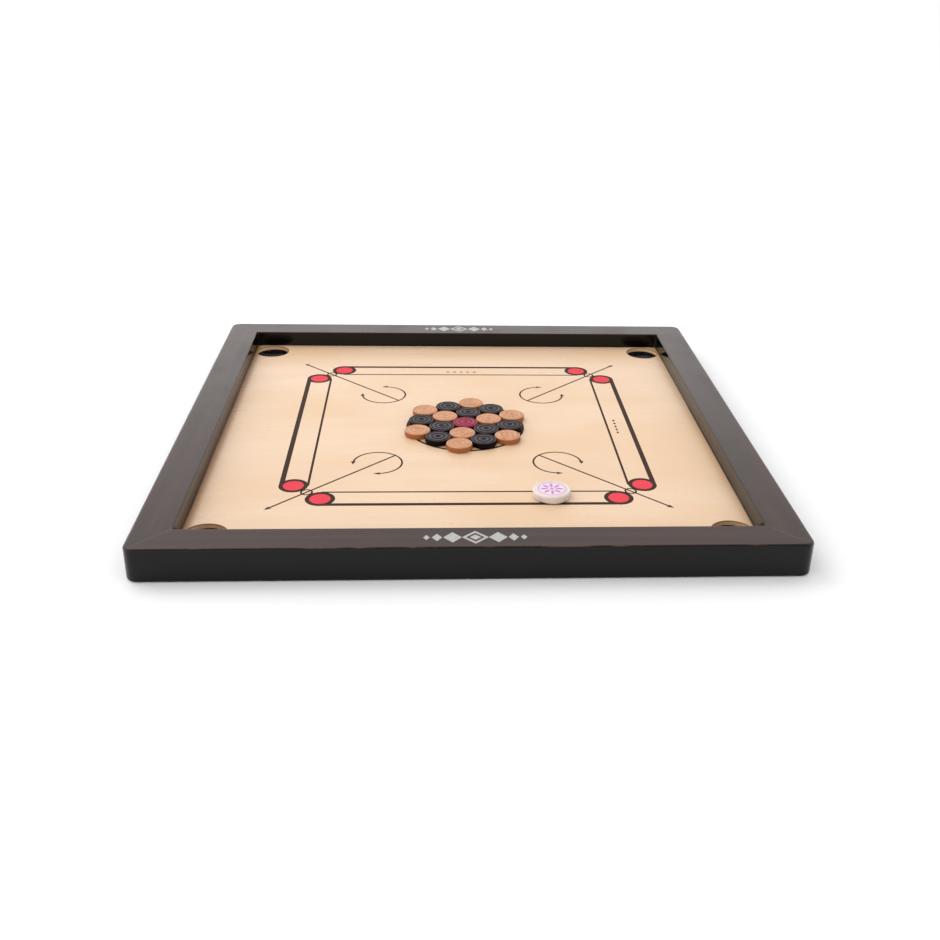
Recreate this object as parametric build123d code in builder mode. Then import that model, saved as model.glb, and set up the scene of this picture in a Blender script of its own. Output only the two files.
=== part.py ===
from build123d import *

import os
from math import radians, sin, sqrt

# A family-size carrom board, set up for the first stroke, with its men, queen and striker.
# Millimetres. +X is the striking player's right, +Y points away from that player and +Z is up.
# The origin is the middle of the board, on the plane that its rails rest on.

# Frame
board_side = 660.0
rail_width = 40.0
rail_height = 36.0
corner_radius = 12.0
outer_edge_radius = 3.0
inner_edge_radius = 1.5
rebate_depth = 10.0

# Playing surface
surface_height = 16.0
panel_thickness = 5.0
panel_gap = 0.5
pocket_radius = 22.0
pocket_inset = 24.5
pocket_rim_radius = 0.6

# Splines across the mitres
spline_length = 26.0
spline_width = 16.0
spline_thickness = 4.0
spline_height = 24.0

# Battens under the playing surface
batten_width = 30.0
batten_thickness = 9.0
batten_offset = 110.0
batten_housing = 12.0

# Steel corner plates, let into the undersides of the rails
plate_thickness = 2.0
plate_arm = 78.0
plate_width = 18.0
plate_inset = 7.0
plate_corner_radius = 4.0
plate_recess = 2.2
plate_fit = 0.1
plate_screw_spacing = (30.0, 68.0)

# Pocket nets and the rings that hold their hems
ring_radius = 32.0
ring_bore_radius = 24.0
ring_thickness = 2.0
hem_thickness = 1.0
hem_radius = 31.5
net_wall = 1.0
net_neck_radius = 23.8
net_belly_radius = 29.5
net_shoulder = 7.6
net_bottom = 1.0
net_bend_radius = 1.6
net_throat_radius = 0.2
ring_screw_circle = 28.0

# Countersunk wood screws: length, shank radius and head radius
plate_screw_size = (16.0, 1.75, 3.5)
batten_screw_size = (18.0, 1.75, 3.5)
crossing_screw_size = (11.0, 1.5, 3.0)
panel_screw_size = (16.0, 1.5, 3.0)
ring_screw_size = (6.5, 1.25, 2.5)
screw_clearance = 0.05
screw_point = 2.5
driver_slot_width = 0.7

# Men and striker
man_radius = 15.45
man_thickness = 7.2
man_edge_radius = 1.6
man_groove_radii = (2.4, 7.6, 12.6)
groove_cutter_radius = 1.6
groove_depth = 0.35
man_pitch = 31.2
pack_centre = (0.0, -2.0)
pack_turn = 21.7
striker_radius = 20.5
striker_thickness = 8.8
striker_edge_radius = 2.2
striker_groove_radii = (17.2,)
striker_place = (87.0, -186.0)

# Values that follow from the dimensions above
opening_side = board_side - 2 * rail_width
rebate_side = opening_side + 2 * rebate_depth
panel_side = rebate_side - 2 * panel_gap
panel_underside = surface_height - panel_thickness
pocket_offset = opening_side / 2 - pocket_inset
pocket_centres = [(x, y) for x in (-pocket_offset, pocket_offset) for y in (-pocket_offset, pocket_offset)]
corner_names = {"front_left": (-1, -1), "front_right": (1, -1), "back_left": (-1, 1), "back_right": (1, 1)}
rail_facings = {"rail_right": 0, "rail_back": 90, "rail_left": 180, "rail_front": 270}

spline_centre = (opening_side + rail_width) / 2
batten_length = rebate_side + 2 * batten_housing
batten_bottom = panel_underside - batten_thickness
batten_screw_reach = (rebate_side + batten_housing) / 2
batten_offsets = (-batten_offset, batten_offset)

plate_bottom = plate_recess - plate_thickness
plate_outer = board_side / 2 - plate_inset
plate_middle = plate_outer - plate_width / 2

ring_bottom = panel_underside - hem_thickness - ring_thickness
hem_bottom = panel_underside - hem_thickness
ring_screw_offset = ring_screw_circle / sqrt(2)
ring_screw_places = [
    (x + across * ring_screw_offset, y + along * ring_screw_offset)
    for x, y in pocket_centres
    for across in (-1, 1)
    for along in (-1, 1)
]

panel_screw_reach = (opening_side + rebate_depth) / 2
panel_screw_stations = (-200.0, -55.0, 55.0, 200.0)
panel_screw_places = [
    place
    for station in panel_screw_stations
    for reach in (-panel_screw_reach, panel_screw_reach)
    for place in ((station, reach), (reach, station))
]
batten_end_places = [
    place
    for offset in batten_offsets
    for reach in (-batten_screw_reach, batten_screw_reach)
    for place in ((reach, offset), (offset, reach))
]
crossing_places = [(x, y) for x in batten_offsets for y in batten_offsets]
plate_screw_places = [
    place
    for side_x, side_y in corner_names.values()
    for spacing in plate_screw_spacing
    for place in (
        (side_x * (plate_outer - spacing), side_y * plate_middle),
        (side_x * plate_middle, side_y * (plate_outer - spacing)),
    )
]


def at_height(places, height):
    """The same plan positions, all at one height."""
    return [(x, y, height) for x, y in places]


def facing_down(places, height):
    """Planes at these plan positions that look down, for countersunk holes drilled from below."""
    return [Plane(origin=(x, y, height), z_dir=(0, 0, -1)) for x, y in places]


def section_plane(x, y, height):
    """An upright plane for half sections: its x runs outwards from (x, y), its y runs up from height."""
    return Plane(origin=(x, y, height), x_dir=(1, 0, 0), z_dir=(0, -1, 0))


def upright(x, y):
    """The vertical axis through (x, y)."""
    return Axis((x, y, 0), (0, 0, 1))


def wood_screw(length, shank_radius, head_radius):
    """A countersunk screw with its flat head on the XY plane and its point up the Z axis."""
    head_depth = head_radius - shank_radius
    with BuildPart() as screw:
        with BuildSketch(section_plane(0, 0, 0)):
            with BuildLine():
                Polyline(
                    (0, 0),
                    (head_radius, 0),
                    (shank_radius, head_depth),
                    (shank_radius, length - screw_point),
                    (0, length),
                    close=True,
                )
            make_face()
        revolve(axis=Axis.Z)
        with BuildSketch():
            Rectangle(head_radius, driver_slot_width)
            Rectangle(driver_slot_width, head_radius)
        extrude(amount=head_depth * 0.6, mode=Mode.SUBTRACT)
    return screw.part


def spline_place(side_x, side_y):
    """The plan position of a mitre spline, turned to lie square across its mitre."""
    return Location((side_x * spline_centre, side_y * spline_centre), 45.0 * side_x * side_y)


def corner_plate_outline(side_x, side_y, grow):
    """The L of a corner plate, its legs along the rails, drawn in the current sketch and grown all round."""
    outer = plate_outer + grow
    leg = plate_arm + 2 * grow
    width = plate_width + 2 * grow
    leg_middle = outer - leg / 2
    foot_middle = outer - width / 2
    with Locations((side_x * leg_middle, side_y * foot_middle)):
        RectangleRounded(leg, width, plate_corner_radius)
    with Locations((side_x * foot_middle, side_y * leg_middle)):
        RectangleRounded(width, leg, plate_corner_radius)


os.makedirs("parts", exist_ok=True)


# Frame: one square ring with every housing, slot and pilot hole, then cut into four mitred rails
with BuildPart() as frame_blank:
    with BuildSketch():
        RectangleRounded(board_side, board_side, corner_radius)
    extrude(amount=rail_height)
    fillet(frame_blank.faces().sort_by(Axis.Z)[-1].edges(), outer_edge_radius)
    fillet(frame_blank.faces().sort_by(Axis.Z)[0].edges(), outer_edge_radius)

    # The opening, with its upper edge eased, and the rebate that the playing surface comes up into
    with BuildSketch():
        Rectangle(opening_side, opening_side)
    extrude(amount=rail_height, mode=Mode.SUBTRACT)
    fillet(frame_blank.faces().sort_by(Axis.Z)[-1].inner_wires()[0].edges(), inner_edge_radius)
    with BuildSketch():
        Rectangle(rebate_side, rebate_side)
    extrude(amount=surface_height, mode=Mode.SUBTRACT)

    # Housings for the ends of the battens
    with BuildSketch():
        for offset in batten_offsets:
            with Locations((0, offset)):
                Rectangle(batten_length, batten_width)
            with Locations((offset, 0)):
                Rectangle(batten_width, batten_length)
    extrude(amount=panel_underside, mode=Mode.SUBTRACT)

    # Recesses for the corner plates
    with BuildSketch():
        for side_x, side_y in corner_names.values():
            corner_plate_outline(side_x, side_y, plate_fit)
    extrude(amount=plate_recess, mode=Mode.SUBTRACT)

    # Stopped slots for the splines
    with BuildSketch(Plane.XY.offset(spline_height)):
        for side_x, side_y in corner_names.values():
            with Locations(spline_place(side_x, side_y)):
                Rectangle(spline_length, spline_width)
    extrude(amount=spline_thickness, mode=Mode.SUBTRACT)

    # Pilot holes: corner plates, batten ends and the edge of the playing surface
    with BuildSketch(Plane.XY.offset(plate_bottom)):
        with Locations(*plate_screw_places):
            Circle(plate_screw_size[1] + screw_clearance)
    extrude(amount=plate_screw_size[0] + 1, mode=Mode.SUBTRACT)
    with BuildSketch(Plane.XY.offset(batten_bottom)):
        with Locations(*batten_end_places):
            Circle(batten_screw_size[1] + screw_clearance)
    extrude(amount=batten_screw_size[0] + 1, mode=Mode.SUBTRACT)
    with BuildSketch(Plane.XY.offset(panel_underside)):
        with Locations(*panel_screw_places):
            Circle(panel_screw_size[1] + screw_clearance)
    extrude(amount=panel_screw_size[0] + 1, mode=Mode.SUBTRACT)

for rail_name, facing in rail_facings.items():
    with BuildPart() as rail:
        add(frame_blank.part)
        for turn in (-45, 45):
            inward = Vector(1, 0, 0).rotate(Axis.Z, facing + turn)
            split(bisect_by=Plane(origin=(0, 0, 0), z_dir=inward), keep=Keep.TOP)
    rail.part.label = rail_name
    export_step(rail.part, f"parts/{rail_name}.step")

for corner_name, (side_x, side_y) in corner_names.items():
    with BuildPart() as mitre_spline:
        with BuildSketch(Plane.XY.offset(spline_height)):
            with Locations(spline_place(side_x, side_y)):
                Rectangle(spline_length, spline_width)
        extrude(amount=spline_thickness)
    mitre_spline.part.label = f"mitre_spline_{corner_name}"
    export_step(mitre_spline.part, f"parts/mitre_spline_{corner_name}.step")


# Playing surface: a plywood panel that bears up against the rails' shoulders
with BuildPart() as playing_surface:
    with BuildSketch(Plane.XY.offset(panel_underside)):
        Rectangle(panel_side, panel_side)
    extrude(amount=panel_thickness)
    with BuildSketch(Plane.XY.offset(panel_underside)):
        with Locations(*pocket_centres):
            Circle(pocket_radius)
    extrude(amount=panel_thickness, mode=Mode.SUBTRACT)
    rims = playing_surface.edges().filter_by(GeomType.CIRCLE).group_by(Axis.Z)[-1]
    fillet(rims, pocket_rim_radius)
    with Locations(*facing_down(panel_screw_places, panel_underside)):
        CounterSinkHole(
            radius=panel_screw_size[1] + screw_clearance,
            counter_sink_radius=panel_screw_size[2] + screw_clearance,
            counter_sink_angle=90,
        )
    with BuildSketch(Plane.XY.offset(batten_bottom)):
        with Locations(*crossing_places):
            Circle(crossing_screw_size[1] + screw_clearance)
    extrude(amount=crossing_screw_size[0] + 0.5, mode=Mode.SUBTRACT)
    with BuildSketch(Plane.XY.offset(ring_bottom)):
        with Locations(*ring_screw_places):
            Circle(ring_screw_size[1] + screw_clearance)
    extrude(amount=ring_screw_size[0] + 0.5, mode=Mode.SUBTRACT)
playing_surface.part.label = "playing_surface"
export_step(playing_surface.part, "parts/playing_surface.step")


# Battens: two each way, half-lapped where they cross, with their ends housed in the rails
lap_height = batten_bottom + batten_thickness / 2

for batten_name, offset in (("batten_x_front", -batten_offset), ("batten_x_back", batten_offset)):
    with BuildPart() as batten:
        with BuildSketch(Plane.XY.offset(batten_bottom)):
            with Locations((0, offset)):
                Rectangle(batten_length, batten_width)
        extrude(amount=batten_thickness)
        with BuildSketch(Plane.XY.offset(lap_height)):
            with Locations(*[(crossing, offset) for crossing in batten_offsets]):
                Rectangle(batten_width, batten_width)
        extrude(amount=batten_thickness, mode=Mode.SUBTRACT)
        end_places = [place for place in batten_end_places if place[1] == offset]
        with Locations(*facing_down(end_places, batten_bottom)):
            CounterSinkHole(
                radius=batten_screw_size[1] + screw_clearance,
                counter_sink_radius=batten_screw_size[2] + screw_clearance,
                counter_sink_angle=90,
            )
        lap_places = [place for place in crossing_places if place[1] == offset]
        with Locations(*facing_down(lap_places, batten_bottom)):
            CounterSinkHole(
                radius=crossing_screw_size[1] + screw_clearance,
                counter_sink_radius=crossing_screw_size[2] + screw_clearance,
                counter_sink_angle=90,
            )
    batten.part.label = batten_name
    export_step(batten.part, f"parts/{batten_name}.step")

for batten_name, offset in (("batten_y_left", -batten_offset), ("batten_y_right", batten_offset)):
    with BuildPart() as batten:
        with BuildSketch(Plane.XY.offset(batten_bottom)):
            with Locations((offset, 0)):
                Rectangle(batten_width, batten_length)
        extrude(amount=batten_thickness)
        with BuildSketch(Plane.XY.offset(batten_bottom)):
            with Locations(*[(offset, crossing) for crossing in batten_offsets]):
                Rectangle(batten_width, batten_width)
        extrude(amount=batten_thickness / 2, mode=Mode.SUBTRACT)
        with BuildSketch(Plane.XY.offset(lap_height)):
            with Locations(*[place for place in crossing_places if place[0] == offset]):
                Circle(crossing_screw_size[1] + screw_clearance)
        extrude(amount=batten_thickness, mode=Mode.SUBTRACT)
        end_places = [place for place in batten_end_places if place[0] == offset]
        with Locations(*facing_down(end_places, batten_bottom)):
            CounterSinkHole(
                radius=batten_screw_size[1] + screw_clearance,
                counter_sink_radius=batten_screw_size[2] + screw_clearance,
                counter_sink_angle=90,
            )
    batten.part.label = batten_name
    export_step(batten.part, f"parts/{batten_name}.step")


# Corner plates: an L of sheet steel under each mitre
for corner_name, (side_x, side_y) in corner_names.items():
    with BuildPart() as corner_plate:
        with BuildSketch(Plane.XY.offset(plate_bottom)):
            corner_plate_outline(side_x, side_y, 0)
        extrude(amount=plate_thickness)
        own_places = [(x, y) for x, y in plate_screw_places if x * side_x > 0 and y * side_y > 0]
        with Locations(*facing_down(own_places, plate_bottom)):
            CounterSinkHole(
                radius=plate_screw_size[1] + screw_clearance,
                counter_sink_radius=plate_screw_size[2] + screw_clearance,
                counter_sink_angle=90,
            )
    corner_plate.part.label = f"corner_plate_{corner_name}"
    export_step(corner_plate.part, f"parts/corner_plate_{corner_name}.step")


# Pockets: a ring under each hole clamps the hem of a net that hangs into the space below
for corner_name, (side_x, side_y) in corner_names.items():
    x, y = side_x * pocket_offset, side_y * pocket_offset
    own_places = [place for place in ring_screw_places if place[0] * side_x > 0 and place[1] * side_y > 0]

    with BuildPart() as pocket_ring:
        with BuildSketch(Plane.XY.offset(ring_bottom)):
            with Locations((x, y)):
                Circle(ring_radius)
                Circle(ring_bore_radius, mode=Mode.SUBTRACT)
        extrude(amount=ring_thickness)
        outer_rim = pocket_ring.faces().sort_by(Axis.Z)[0].outer_wire().edges()
        fillet(outer_rim, ring_thickness / 2)
        with Locations(*facing_down(own_places, ring_bottom)):
            CounterSinkHole(
                radius=ring_screw_size[1] + screw_clearance,
                counter_sink_radius=ring_screw_size[2] + screw_clearance,
                counter_sink_angle=90,
            )
    pocket_ring.part.label = f"pocket_ring_{corner_name}"
    export_step(pocket_ring.part, f"parts/pocket_ring_{corner_name}.step")

    with BuildPart() as pocket_net:
        with BuildSketch(section_plane(x, y, 0)):
            for inset, mode in ((0, Mode.ADD), (net_wall, Mode.SUBTRACT)):
                with BuildLine():
                    FilletPolyline(
                        (0, net_bottom + inset),
                        (net_belly_radius - inset, net_bottom + inset),
                        (net_belly_radius - inset, net_shoulder - inset),
                        (net_neck_radius - inset, net_shoulder - inset),
                        (net_neck_radius - inset, panel_underside),
                        radius=[net_bend_radius, net_bend_radius, net_throat_radius],
                    )
                    Polyline(
                        (net_neck_radius - inset, panel_underside),
                        (0, panel_underside),
                        (0, net_bottom + inset),
                    )
                make_face(mode=mode)
            with BuildLine():
                Polyline(
                    (net_neck_radius - net_wall, panel_underside),
                    (hem_radius, panel_underside),
                    (hem_radius, hem_bottom),
                    (net_neck_radius - net_wall, hem_bottom),
                    close=True,
                )
            make_face()
        revolve(axis=upright(x, y))
        with BuildSketch(Plane.XY.offset(hem_bottom)):
            with Locations(*own_places):
                Circle(ring_screw_size[1] + screw_clearance)
        extrude(amount=hem_thickness, mode=Mode.SUBTRACT)
    pocket_net.part.label = f"pocket_net_{corner_name}"
    export_step(pocket_net.part, f"parts/pocket_net_{corner_name}.step")


# Screws, grouped by what they hold
plate_screw = wood_screw(*plate_screw_size)
batten_screw = wood_screw(*batten_screw_size)
crossing_screw = wood_screw(*crossing_screw_size)
panel_screw = wood_screw(*panel_screw_size)
ring_screw = wood_screw(*ring_screw_size)

with BuildPart() as corner_plate_screws:
    with Locations(*at_height(plate_screw_places, plate_bottom)):
        add(plate_screw)
corner_plate_screws.part.label = "corner_plate_screws"
export_step(corner_plate_screws.part, "parts/corner_plate_screws.step")

with BuildPart() as batten_end_screws:
    with Locations(*at_height(batten_end_places, batten_bottom)):
        add(batten_screw)
batten_end_screws.part.label = "batten_end_screws"
export_step(batten_end_screws.part, "parts/batten_end_screws.step")

with BuildPart() as batten_crossing_screws:
    with Locations(*at_height(crossing_places, batten_bottom)):
        add(crossing_screw)
batten_crossing_screws.part.label = "batten_crossing_screws"
export_step(batten_crossing_screws.part, "parts/batten_crossing_screws.step")

with BuildPart() as panel_screws:
    with Locations(*at_height(panel_screw_places, panel_underside)):
        add(panel_screw)
panel_screws.part.label = "panel_screws"
export_step(panel_screws.part, "parts/panel_screws.step")

with BuildPart() as pocket_ring_screws:
    with Locations(*at_height(ring_screw_places, ring_bottom)):
        add(ring_screw)
pocket_ring_screws.part.label = "pocket_ring_screws"
export_step(pocket_ring_screws.part, "parts/pocket_ring_screws.step")


# Men: a ring of six round the queen, then twelve round those, light and dark in turn
def make_disc(x, y, radius, thickness, edge_radius, groove_radii):
    """A round-edged disc on the playing surface at (x, y), with wide shallow grooves in both faces."""
    cutter_height = groove_cutter_radius - groove_depth
    with BuildPart() as disc:
        with BuildSketch(section_plane(x, y, surface_height)) as half_section:
            Rectangle(radius, thickness, align=(Align.MIN, Align.MIN))
            fillet(half_section.vertices().group_by(Axis.X)[-1], edge_radius)
            with Locations(*[(groove, thickness + cutter_height) for groove in groove_radii]):
                Circle(groove_cutter_radius, mode=Mode.SUBTRACT)
            with Locations(*[(groove, -cutter_height) for groove in groove_radii]):
                Circle(groove_cutter_radius, mode=Mode.SUBTRACT)
        revolve(axis=upright(x, y))
    return disc.part


def pack_place(distance, angle):
    """A position at this distance and angle from the middle of the pack, counted from the pack's own turn."""
    step = Vector(distance, 0, 0).rotate(Axis.Z, pack_turn + angle)
    return (pack_centre[0] + step.X, pack_centre[1] + step.Y)


middle_distance = 2 * man_pitch * sin(radians(60))
white_places = [pack_place(man_pitch, angle) for angle in range(0, 360, 120)]
white_places += [pack_place(2 * man_pitch, angle) for angle in range(0, 360, 60)]
black_places = [pack_place(man_pitch, angle) for angle in range(60, 360, 120)]
black_places += [pack_place(middle_distance, angle) for angle in range(30, 360, 60)]

for colour, places in (("white", white_places), ("black", black_places)):
    for number, (x, y) in enumerate(places, start=1):
        man = make_disc(x, y, man_radius, man_thickness, man_edge_radius, man_groove_radii)
        man.label = f"{colour}_man_{number}"
        export_step(man, f"parts/{colour}_man_{number}.step")

queen = make_disc(*pack_centre, man_radius, man_thickness, man_edge_radius, man_groove_radii)
queen.label = "queen"
export_step(queen, "parts/queen.step")

striker = make_disc(
    *striker_place, striker_radius, striker_thickness, striker_edge_radius, striker_groove_radii
)
striker.label = "striker"
export_step(striker, "parts/striker.step")
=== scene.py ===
from math import cos, hypot, pi, radians, sin, sqrt
from random import Random

import bmesh
import bpy
from mathutils import Matrix, Vector


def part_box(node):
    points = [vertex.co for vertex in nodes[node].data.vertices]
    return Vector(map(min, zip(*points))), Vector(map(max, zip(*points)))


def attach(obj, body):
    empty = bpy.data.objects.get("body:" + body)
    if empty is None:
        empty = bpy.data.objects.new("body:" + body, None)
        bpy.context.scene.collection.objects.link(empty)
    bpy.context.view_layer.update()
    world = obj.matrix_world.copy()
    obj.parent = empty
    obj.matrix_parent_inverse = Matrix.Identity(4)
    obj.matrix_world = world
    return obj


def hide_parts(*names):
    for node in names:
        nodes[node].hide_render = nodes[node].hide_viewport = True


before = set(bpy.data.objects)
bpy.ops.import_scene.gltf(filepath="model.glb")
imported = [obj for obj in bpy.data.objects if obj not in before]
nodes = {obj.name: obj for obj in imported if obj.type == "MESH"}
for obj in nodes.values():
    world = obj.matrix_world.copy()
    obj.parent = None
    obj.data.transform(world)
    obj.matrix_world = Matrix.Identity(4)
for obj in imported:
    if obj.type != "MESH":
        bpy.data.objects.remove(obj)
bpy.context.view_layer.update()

# A carrom board with its men, queen and striker. Everything is in metres, in the CAD frame: +Z is up,
# +X is the striking player's right and +Y points away from that player. CAD pieces get materials; the
# printed markings, the ornaments and the knotted pocket nets are built here.

# ---------------------------------------------------------------------------------------------
# Places taken from the frame
# ---------------------------------------------------------------------------------------------

CORNERS = {"front_left": (-1, -1), "front_right": (1, -1), "back_left": (-1, 1), "back_right": (1, 1)}
SIDES = {"right": 0, "back": 1, "left": 2, "front": 3}
MM = 0.001

front_low, front_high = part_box("rail_front")
panel_low, panel_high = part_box("playing_surface")
outer_half = -front_low.y
opening_half = -front_high.y
rail_top = front_high.z
surface = panel_high.z
panel_underside = panel_low.z
panel_thickness = surface - panel_underside
rail_middle = (outer_half + opening_half) / 2


def middle_of(node):
    """The middle of a CAD node's box."""
    low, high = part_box(node)
    return (low + high) / 2


pack_middle = middle_of("queen")
striker_middle = middle_of("striker")
striker_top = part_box("striker")[1].z
man_low, man_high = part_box("queen")
man_radius = (man_high.x - man_low.x) / 2
pocket_middle = middle_of("pocket_net_back_right")


# ---------------------------------------------------------------------------------------------
# Camera and light
# ---------------------------------------------------------------------------------------------

CAMERA_PLACE = Vector((-0.0444, -1.2249, 0.554))
CAMERA_PITCH = radians(25.935)
CAMERA_YAW = radians(-4.423)
CAMERA_ROLL = radians(1.795)
CAMERA_LENS = 41.86
CAMERA_SHIFT = -0.0372
SKY_AT_HORIZON = 1.8
SKY_OVERHEAD = 0.7
SKY_LEAN = (-0.26, 0.06)
KEY_PLACE = (-1.4, 1.0, 2.4)
KEY_SIZE = 1.8
KEY_POWER = 20


def make_camera():
    """The photograph's view, from the striking player's side and a little left of the middle."""
    ahead_level = Vector((-sin(CAMERA_YAW), cos(CAMERA_YAW), 0))
    right_level = Vector((cos(CAMERA_YAW), sin(CAMERA_YAW), 0))
    up_level = Vector((0, 0, 1))
    ahead = ahead_level * cos(CAMERA_PITCH) - up_level * sin(CAMERA_PITCH)
    up = up_level * cos(CAMERA_PITCH) + ahead_level * sin(CAMERA_PITCH)
    right_rolled = right_level * cos(CAMERA_ROLL) + up * sin(CAMERA_ROLL)
    up_rolled = up * cos(CAMERA_ROLL) - right_level * sin(CAMERA_ROLL)
    data = bpy.data.cameras.new("camera")
    data.sensor_width = 36.0
    data.lens = CAMERA_LENS
    data.shift_x = CAMERA_SHIFT
    data.clip_start = 0.01
    data.clip_end = 100.0
    camera = bpy.data.objects.new("camera", data)
    turn = Matrix((right_rolled, up_rolled, -ahead)).transposed()
    camera.matrix_world = Matrix.Translation(CAMERA_PLACE) @ turn.to_4x4()
    bpy.context.scene.collection.objects.link(camera)
    bpy.context.scene.camera = camera


def make_key_light():
    """A soft square lamp behind the board, facing its middle."""
    data = bpy.data.lights.new("key_light", "AREA")
    data.shape = "SQUARE"
    data.size = KEY_SIZE
    data.energy = KEY_POWER
    lamp = bpy.data.objects.new("key_light", data)
    lamp.location = KEY_PLACE
    lamp.rotation_mode = "QUATERNION"
    lamp.rotation_quaternion = (-Vector(KEY_PLACE)).to_track_quat("-Z", "Y")
    bpy.context.scene.collection.objects.link(lamp)


def make_world():
    """A white studio, brightest low down and a little brighter towards the back left."""
    world = bpy.data.worlds.new("studio")
    world.use_nodes = True
    tree = world.node_tree
    background = tree.nodes["Background"]
    background.inputs["Color"].default_value = (1.0, 1.0, 1.0, 1.0)
    direction = tree.nodes.new("ShaderNodeTexCoord").outputs["Generated"]
    split = tree.nodes.new("ShaderNodeSeparateXYZ")
    tree.links.new(direction, split.inputs["Vector"])
    height = tree.nodes.new("ShaderNodeMapRange")
    tree.links.new(split.outputs["Z"], height.inputs["Value"])
    height.inputs["To Min"].default_value = SKY_AT_HORIZON
    height.inputs["To Max"].default_value = SKY_OVERHEAD
    lean = tree.nodes.new("ShaderNodeVectorMath")
    lean.operation = "DOT_PRODUCT"
    tree.links.new(direction, lean.inputs[0])
    lean.inputs[1].default_value = (*SKY_LEAN, 0.0)
    share = tree.nodes.new("ShaderNodeMath")
    share.operation = "ADD"
    tree.links.new(lean.outputs["Value"], share.inputs[0])
    share.inputs[1].default_value = 1.0
    strength = tree.nodes.new("ShaderNodeMath")
    strength.operation = "MULTIPLY"
    tree.links.new(height.outputs["Result"], strength.inputs[0])
    tree.links.new(share.outputs["Value"], strength.inputs[1])
    tree.links.new(strength.outputs["Value"], background.inputs["Strength"])
    bpy.context.scene.world = world


# ---------------------------------------------------------------------------------------------
# Material nodes
# ---------------------------------------------------------------------------------------------


def srgb(red, green, blue):
    """A shader colour from display values of 0 to 255."""
    values = [v / 255 for v in (red, green, blue)]
    return tuple(v / 12.92 if v <= 0.04045 else ((v + 0.055) / 1.055) ** 2.4 for v in values) + (1.0,)


class Shader:
    """A material with one Principled shader, and short calls for the nodes that feed it."""

    def __init__(self, name):
        self.material = bpy.data.materials.new(name)
        self.material.use_nodes = True
        self.tree = self.material.node_tree
        self.surface = self.tree.nodes["Principled BSDF"]
        self.place = self.node("ShaderNodeTexCoord").outputs["Object"]

    def node(self, kind):
        """A new node of this kind."""
        return self.tree.nodes.new(kind)

    def feed(self, socket, value):
        """Links another node's output to a socket, or sets the socket to a value."""
        if isinstance(value, bpy.types.NodeSocket):
            self.tree.links.new(value, socket)
        else:
            socket.default_value = value

    def set(self, **values):
        """Sets or links the Principled shader's sockets, named with _ for a space."""
        for key, value in values.items():
            self.feed(self.surface.inputs[key.replace("_", " ")], value)

    def stretched(self, scale, turn=0.0):
        """Object coordinates turned about Z, then scaled along each axis."""
        turned = self.node("ShaderNodeMapping")
        self.feed(turned.inputs["Vector"], self.place)
        self.feed(turned.inputs["Rotation"], (0.0, 0.0, turn))
        scaled = self.node("ShaderNodeMapping")
        self.feed(scaled.inputs["Vector"], turned.outputs["Vector"])
        self.feed(scaled.inputs["Scale"], scale)
        return scaled.outputs["Vector"]

    def noise(self, vector, detail, roughness=0.5, distortion=0.0):
        """Fractal noise, mostly between 0.3 and 0.7."""
        node = self.node("ShaderNodeTexNoise")
        self.feed(node.inputs["Vector"], vector)
        self.feed(node.inputs["Scale"], 1.0)
        self.feed(node.inputs["Detail"], detail)
        self.feed(node.inputs["Roughness"], roughness)
        self.feed(node.inputs["Distortion"], distortion)
        return node.outputs["Fac"]

    def cells(self, vector, scale):
        """The distance to the middle of the nearest of many small cells."""
        node = self.node("ShaderNodeTexVoronoi")
        self.feed(node.inputs["Vector"], vector)
        self.feed(node.inputs["Scale"], scale)
        return node.outputs["Distance"]

    def math(self, operation, first, second=0.0):
        """The result of a sum on one or two values."""
        node = self.node("ShaderNodeMath")
        node.operation = operation
        self.feed(node.inputs[0], first)
        self.feed(node.inputs[1], second)
        return node.outputs["Value"]

    def step(self, value, low, high, to_low=0.0, to_high=1.0):
        """Runs smoothly from to_low, where value is low, to to_high, where it is high."""
        node = self.node("ShaderNodeMapRange")
        node.interpolation_type = "SMOOTHSTEP"
        self.feed(node.inputs["Value"], value)
        self.feed(node.inputs["From Min"], low)
        self.feed(node.inputs["From Max"], high)
        self.feed(node.inputs["To Min"], to_low)
        self.feed(node.inputs["To Max"], to_high)
        return node.outputs["Result"]

    def blend(self, amount, first, second):
        """A mix of two colours: the first where amount is 0, the second where it is 1."""
        node = self.node("ShaderNodeMix")
        node.data_type = "RGBA"
        self.feed(node.inputs[0], amount)
        self.feed(node.inputs[6], first)
        self.feed(node.inputs[7], second)
        return node.outputs[2]

    def axes(self):
        """X, Y and Z of the object coordinates."""
        node = self.node("ShaderNodeSeparateXYZ")
        self.feed(node.inputs["Vector"], self.place)
        return node.outputs["X"], node.outputs["Y"], node.outputs["Z"]

    def length(self, x, y):
        """The length of a plan vector."""
        return self.math("SQRT", self.math("ADD", self.math("POWER", x, 2.0), self.math("POWER", y, 2.0)))

    def radius_from(self, x, y):
        """The plan distance from the upright axis through (x, y)."""
        across, along, _ = self.axes()
        return self.length(self.math("SUBTRACT", across, x), self.math("SUBTRACT", along, y))

    def bump(self, height, distance, strength):
        """Raises the surface by up to distance where height is 1."""
        node = self.node("ShaderNodeBump")
        self.feed(node.inputs["Height"], height)
        self.feed(node.inputs["Distance"], distance)
        self.feed(node.inputs["Strength"], strength)
        self.feed(self.surface.inputs["Normal"], node.outputs["Normal"])


ARRIS_RADIUS = 3.0 * MM
EASED_EDGE = 1.0 * MM


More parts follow.
